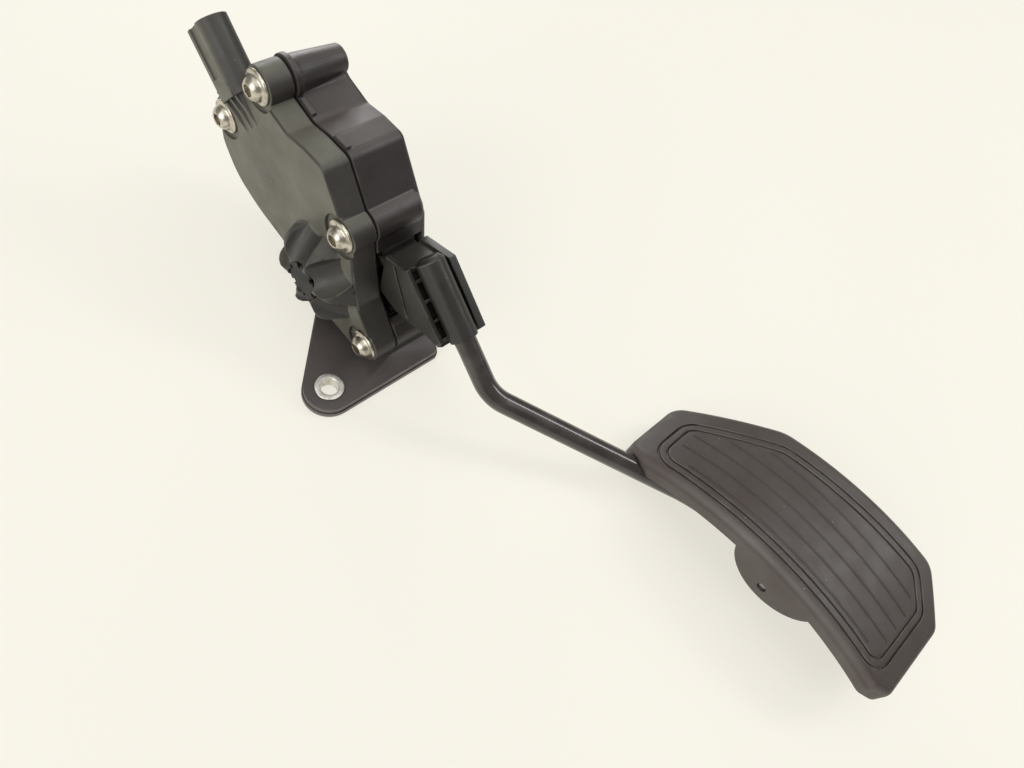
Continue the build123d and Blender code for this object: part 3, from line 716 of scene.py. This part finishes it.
# Return springs: two coils of round spring steel wire, one inside the other, so that one may fail.
# They stand on pegs between the seat on the carrier's arm and the sloping front wall.
# One end stays on the wall and the other goes with the seat, so they shorten as the pedal goes down.
wall_end = Vector((0.03645, 0.02856, 0.06913))
spring_dir = Vector((0.0, -0.7905, 0.6125)).normalized()
spring_length = 16.69
seat_end = wall_end - spring_dir * spring_length * MM
coil_steps = 40
wire_sides = 12
# Name, mean radius, wire diameter and turns.
springs = [("outer", 6.0, 1.6, 3.5), ("inner", 3.9, 1.2, 4.5)]

# Oiled spring steel: dark grey with a slick highlight along the wire.
spring_steel = plated_steel("oiled_spring_steel", bright="#8B8C90", dull="#57585C", rough=0.3, swirl_mm=0.4)


def swept(tree, path, radius, sides, finish, result):
    """Ends a tree: a round bar swept along a path, smooth and with its finish."""
    outline = add_node(tree, "GeometryNodeCurvePrimitiveCircle", {"Resolution": sides, "Radius": radius})
    bar = add_node(
        tree,
        "GeometryNodeCurveToMesh",
        {"Curve": path, "Profile Curve": outline.outputs[0], "Fill Caps": True},
    )
    smooth = add_node(tree, "GeometryNodeSetShadeSmooth", {"Geometry": bar.outputs[0]})
    coated = add_node(tree, "GeometryNodeSetMaterial", {"Geometry": smooth.outputs[0], "Material": finish})
    add_node(tree, "NodeGroupOutput", {result: coated.outputs[0]})


coil_tree, coil_given, coil_sockets = growth_tree(
    "wound_spring",
    "Start",
    dict.fromkeys(("Turns", "Mean radius", "Height", "Wire radius"), "NodeSocketFloat"),
    "Spring",
)
coil = add_node(
    coil_tree,
    "GeometryNodeCurveSpiral",
    {
        "Resolution": coil_steps,
        "Rotations": coil_given.outputs["Turns"],
        "Start Radius": coil_given.outputs["Mean radius"],
        "End Radius": coil_given.outputs["Mean radius"],
        "Height": coil_given.outputs["Height"],
    },
)
swept(coil_tree, coil.outputs[0], coil_given.outputs["Wire radius"], wire_sides, spring_steel, "Spring")

for spring_name, mean_r, wire_d, turns in springs:
    height = spring_length - wire_d
    foot = wall_end - spring_dir * (spring_length - wire_d / 2) * MM
    stand = spring_dir.to_track_quat("Z", "X").to_matrix().to_4x4()
    stand.translation = foot
    sizes = [turns, mean_r * MM, height * MM, wire_d / 2 * MM]
    start = bpy.data.meshes.new("spring_start")
    spring = grown(start, coil_tree, list(zip(coil_sockets, sizes)), f"{spring_name}_coil", stand)
    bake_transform(spring, "housing", "pedal", start=tuple(wall_end), end=tuple(seat_end))
    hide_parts(f"return_spring_{spring_name}")

# Lever carrier: the moulded arm that holds the rod, in glass-filled nylon, duller than the housing.
# It is moulded round the rod's end and turns on the pivot shaft.

# Glass-filled nylon again, with less dust and painted sheen: an even, dark olive black.
carrier_nylon = black_moulding(
    "carrier_nylon",
    shade="#1F1D1A",
    bloom="#2A2824",
    rubbed="#4A473F",
    dust_and_sheen="#6E6B60",
    dust_and_sheen_share=0.1,
    rough=0.42,
    grain_mm=0.7,
)
dressed("lever_carrier", "carrier_arm", "pedal", carrier_nylon)

# Pedal rod: 8 mm steel bar, bent cold in two places and stove enamelled black.
# The enamel is thin and glossy, so the bar shows a long highlight.
rod_route = [(36.0, -2.0, 56.4), (36.0, -42.88, 26.92), (86.0, -116.0, 4.2), (86.0, -162.0, 23.0)]
rod_d = 8.0
rod_bend_r = 18.0
rod_bend_steps = 24
rod_sides = 40
rod_crease_deg = 50
haze_mm = 9
chip_mm = 2.4
peel_mm = 1.4
peel_rise_mm = 0.1

# Stove enamel: brown-black and glossy over a slight orange peel, hazed in places, with a few chips.
rod_enamel, enamel_tree, enamel_shader, enamel_place = new_finish("black_stove_enamel")
haze = add_node(
    enamel_tree,
    "ShaderNodeTexNoise",
    {"Vector": enamel_place, "Scale": 1 / (haze_mm * MM), "Detail": 5.0},
)
haze_share = add_node(
    enamel_tree, "ShaderNodeMapRange", {"Value": haze.outputs[0], "From Min": 0.42, "From Max": 0.68}
)
enamel_body = add_node(
    enamel_tree,
    "ShaderNodeMix",
    {0: haze_share.outputs[0], 6: linear("#302B29"), 7: linear("#433D3A")},
    data_type="RGBA",
)
chips = add_node(
    enamel_tree,
    "ShaderNodeTexNoise",
    {"Vector": enamel_place, "Scale": 1 / (chip_mm * MM), "Detail": 2.0},
)
chip_share = add_node(
    enamel_tree,
    "ShaderNodeMapRange",
    {"Value": chips.outputs[0], "From Min": 0.74, "From Max": 0.78, "To Max": 0.6},
)
enamel_chipped = add_node(
    enamel_tree,
    "ShaderNodeMix",
    {0: chip_share.outputs[0], 6: enamel_body.outputs[2], 7: linear("#6A655E")},
    data_type="RGBA",
)
enamel_tree.links.new(enamel_chipped.outputs[2], enamel_shader.inputs["Base Color"])
enamel_gloss = add_node(
    enamel_tree, "ShaderNodeMapRange", {"Value": haze.outputs[0], "To Min": 0.16, "To Max": 0.32}
)
enamel_tree.links.new(enamel_gloss.outputs[0], enamel_shader.inputs["Roughness"])
enamel_shader.inputs["Coat Weight"].default_value = 0.5
enamel_shader.inputs["Coat Roughness"].default_value = 0.08
peel = add_node(
    enamel_tree,
    "ShaderNodeTexNoise",
    {"Vector": enamel_place, "Scale": 1 / (peel_mm * MM), "Detail": 2.0},
)
peel_bump = add_node(
    enamel_tree,
    "ShaderNodeBump",
    {"Height": peel.outputs[0], "Strength": 0.12, "Distance": peel_rise_mm * MM},
)
enamel_tree.links.new(peel_bump.outputs[0], enamel_shader.inputs["Normal"])

rod_tree, rod_given, rod_sockets = growth_tree(
    "bent_bar", "Route", dict.fromkeys(("Bend radius", "Bar radius"), "NodeSocketFloat"), "Bar"
)
route_line = add_node(rod_tree, "GeometryNodeMeshToCurve", {"Mesh": rod_given.outputs["Route"]})
route_bent = add_node(
    rod_tree,
    "GeometryNodeFilletCurve",
    {"Curve": route_line.outputs[0], "Count": rod_bend_steps, "Radius": rod_given.outputs["Bend radius"]},
    mode="POLY",
)
swept(rod_tree, route_bent.outputs[0], rod_given.outputs["Bar radius"], rod_sides, rod_enamel, "Bar")

route_mesh = bpy.data.meshes.new("rod_route")
route_mesh.from_pydata([Vector(p) * MM for p in rod_route], [(0, 1), (1, 2), (2, 3)], [])
rod = grown(route_mesh, rod_tree, list(zip(rod_sockets, [rod_bend_r * MM, rod_d / 2 * MM])), "bent_rod")
rod.data.set_sharp_from_angle(angle=radians(rod_crease_deg))
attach(rod, "pedal")
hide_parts("pedal_rod")

# Pedal pad: a bowed moulding in dull thermoplastic rubber, with two border grooves and low ridges along it.
# The rolled edge is painted pale as a highlight. A pin holds the pad on the rod's end.
pad_corners = [
    (74.2, -86.0),
    (102.5, -86.0),
    (121.2, -121.5),
    (126.2, -189.5),
    (110.5, -206.6),
    (75.0, -206.6),
    (70.6, -199.0),
    (70.6, -94.0),
]
bow_y = -157.0
bow_z = -93.5
bow_r = 129.0
roll_highlight = 1.5
roll_low = 0.2
ridge_inset = 13.4
ridge_first_x = 79.8
ridge_pitch = 6.75
ridge_count = 5
ridge_steps = 24
ridge_sides = 12
ridge_r = 0.6
ridge_sunk = 0.28

# Thermoplastic rubber: a warm dark grey, almost matt, paler where it is worn, with dust and a painted sheen
# on its sides and top, and a painted highlight on the rolled edge.
pad_rubber = black_moulding(
    "pad_thermoplastic_rubber",
    shade="#372D2A",
    bloom="#3F3B36",
    rubbed="#6A635E",
    dust_and_sheen="#746C68",
    dust_and_sheen_share=0.36,
    rough=0.5,
    grain_mm=0.9,
)
pad = dressed("pedal_pad", "pad_body", "pedal", pad_rubber, edge_mm=0.25, top_dust_and_sheen=0.42)
# Painted highlight: the rolled edge's faces get a stronger dust mark, so they render pale as if lit.
pad_dust_and_sheen = pad.data.attributes["dust_and_sheen"].data
for face in pad.data.polygons:
    if face.normal.z > roll_low:
        rolled = 4 * face.normal.x**2 * (1 - face.normal.x**2)
        pad_dust_and_sheen[face.index].value = max(pad_dust_and_sheen[face.index].value, roll_highlight * rolled)


def ridge_ends(x):
    """Where a ridge at this x starts and stops, inside the border grooves."""
    low = -1000.0
    high = 1000.0
    for (ax, ay), (bx, by) in zip(pad_corners, pad_corners[1:] + pad_corners[:1]):
        length = hypot(bx - ax, by - ay)
        in_x = (by - ay) / length
        in_y = (ax - bx) / length
        rest = ridge_inset - in_x * (x - ax)
        if in_y > 1e-6:
            low = max(low, ay + rest / in_y)
        elif in_y < -1e-6:
            high = min(high, ay + rest / in_y)
    return low, high


ridge_points = []
ridge_edges = []
for i in range(ridge_count):
    x = ridge_first_x + i * ridge_pitch
    low, high = ridge_ends(x)
    for k in range(ridge_steps + 1):
        y = low + (high - low) * k / ridge_steps
        z = bow_z + sqrt((bow_r - ridge_sunk) ** 2 - (y - bow_y) ** 2)
        if k:
            ridge_edges.append((len(ridge_points) - 1, len(ridge_points)))
        ridge_points.append((x * MM, y * MM, z * MM))
ridge_lines = bpy.data.meshes.new("ridge_lines")
ridge_lines.from_pydata(ridge_points, ridge_edges, [])

ridge_tree, ridge_given, ridge_sockets = growth_tree(
    "ridges_on_lines", "Lines", {"Ridge radius": "NodeSocketFloat"}, "Ridges"
)
ridge_line = add_node(ridge_tree, "GeometryNodeMeshToCurve", {"Mesh": ridge_given.outputs["Lines"]})
swept(
    ridge_tree, ridge_line.outputs[0], ridge_given.outputs["Ridge radius"], ridge_sides, pad_rubber, "Ridges"
)
ridges = grown(ridge_lines, ridge_tree, list(zip(ridge_sockets, [ridge_r * MM])), "pad_ridges")
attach(ridges, "pedal")

# Studio: a pale matt table in a pale room, with a window to the left and a wide soft lamp overhead.
# A strip lamp draws the highlight along the rod, and a low lamp behind lights the slopes by the connector.
# The table is in the plane of the mounting face.
table_half = 6.0
table_cloud_mm = 160
table_glow_share = 0.68
aim = Vector((0.04, -0.05, 0.03))
rod_run = Vector((0.547, -0.799, -0.248))
# Name, place, long side, short side and power.
lamps = [
    ("window_lamp", (-2.0, -0.2, 1.1), 1.6, 1.6, 26.0),
    ("ceiling_lamp", (0.1, 0.0, 1.7), 2.4, 2.4, 19.0),
    ("strip_lamp", (0.87, -0.56, 0.91), 0.7, 0.24, 4.0),
    ("back_lamp", (0.75, 1.25, 0.35), 0.8, 0.8, 9.0),
]
room_light = 0.16
room_seen_light = 0.95
room_gloss_share = 0.15

table_mesh = bpy.data.meshes.new("table")
table_corners = [(-1, -1), (1, -1), (1, 1), (-1, 1)]
table_mesh.from_pydata([(x * table_half, y * table_half, 0) for x, y in table_corners], [], [(0, 1, 2, 3)])
table = put("table", table_mesh)

# Pale laminate: cream white and matt. Part of its light goes to the camera directly, so shadows stay soft.
table_paint, table_tree, table_shader, table_place = new_finish("pale_laminate")
table_cloud = add_node(
    table_tree, "ShaderNodeTexNoise", {"Vector": table_place, "Scale": 1 / (table_cloud_mm * MM)}
)
table_body = add_node(
    table_tree,
    "ShaderNodeMix",
    {0: table_cloud.outputs[0], 6: linear("#F7F4EA"), 7: linear("#FBF9F0")},
    data_type="RGBA",
)
table_tree.links.new(table_body.outputs[2], table_shader.inputs["Base Color"])
table_shader.inputs["Roughness"].default_value = 0.55
table_glow = add_node(table_tree, "ShaderNodeEmission", {"Color": linear("#FAF6EA")})
table_ray = add_node(table_tree, "ShaderNodeLightPath")
table_seen = add_node(
    table_tree,
    "ShaderNodeMath",
    {0: table_ray.outputs["Is Camera Ray"], 1: table_ray.outputs["Is Glossy Ray"]},
    operation="MAXIMUM",
)
table_share = add_node(
    table_tree, "ShaderNodeMath", {0: table_seen.outputs[0], 1: table_glow_share}, operation="MULTIPLY"
)
table_mixed = add_node(
    table_tree,
    "ShaderNodeMixShader",
    {0: table_share.outputs[0], 1: table_shader.outputs[0], 2: table_glow.outputs[0]},
)
table_tree.links.new(table_mixed.outputs[0], table_tree.nodes["Material Output"].inputs["Surface"])
table_mesh.materials.append(table_paint)

for lamp_name, spot, long_side, short_side, power in lamps:
    lamp_data = bpy.data.lights.new(lamp_name, "AREA")
    lamp_data.shape = "RECTANGLE"
    lamp_data.size = long_side
    lamp_data.size_y = short_side
    lamp_data.energy = power
    lamp_back = (Vector(spot) - aim).normalized()
    lamp_long = (rod_run - lamp_back * rod_run.dot(lamp_back)).normalized()
    lamp_stand = Matrix((lamp_long, lamp_back.cross(lamp_long), lamp_back)).transposed().to_4x4()
    lamp_stand.translation = spot
    put(lamp_name, lamp_data).matrix_world = lamp_stand

room = bpy.data.worlds.new("pale_room")
room.use_nodes = True
room_tree = room.node_tree
room_ray = add_node(room_tree, "ShaderNodeLightPath")
room_gloss = add_node(
    room_tree,
    "ShaderNodeMath",
    {0: room_ray.outputs["Is Glossy Ray"], 1: room_gloss_share},
    operation="MULTIPLY",
)
room_seen = add_node(
    room_tree,
    "ShaderNodeMath",
    {0: room_ray.outputs["Is Camera Ray"], 1: room_gloss.outputs[0]},
    operation="MAXIMUM",
)
room_strength = add_node(
    room_tree,
    "ShaderNodeMapRange",
    {"Value": room_seen.outputs[0], "To Min": room_light, "To Max": room_seen_light},
)
room_tree.nodes["Background"].inputs["Color"].default_value = linear("#F8F5EB")
room_tree.links.new(room_strength.outputs[0], room_tree.nodes["Background"].inputs["Strength"])
bpy.context.scene.world = room
bpy.context.scene.view_settings.view_transform = "Standard"

# Camera: over the cover's side, about 0.3 m away, looking down along the rod to the pad.
# Its place and its lens were worked out from the part's own edges.
eye = Vector((-0.0937, -0.10575, 0.26844))
view_right = Vector((0.71945, -0.64834, 0.2491))
view_up = Vector((0.49394, 0.72975, 0.47274))
view_back = Vector((-0.48828, -0.21707, 0.84526))
focal_px = 796.65
frame_px = 1024
camera_data = bpy.data.cameras.new("photo_camera")
camera_data.sensor_width = 36.0
camera_data.lens = camera_data.sensor_width * focal_px / frame_px
camera_data.clip_start = 0.01
camera = put("photo_camera", camera_data)
stance = Matrix((view_right, view_up, view_back)).transposed().to_4x4()
stance.translation = eye
camera.matrix_world = stance
bpy.context.scene.camera = camera
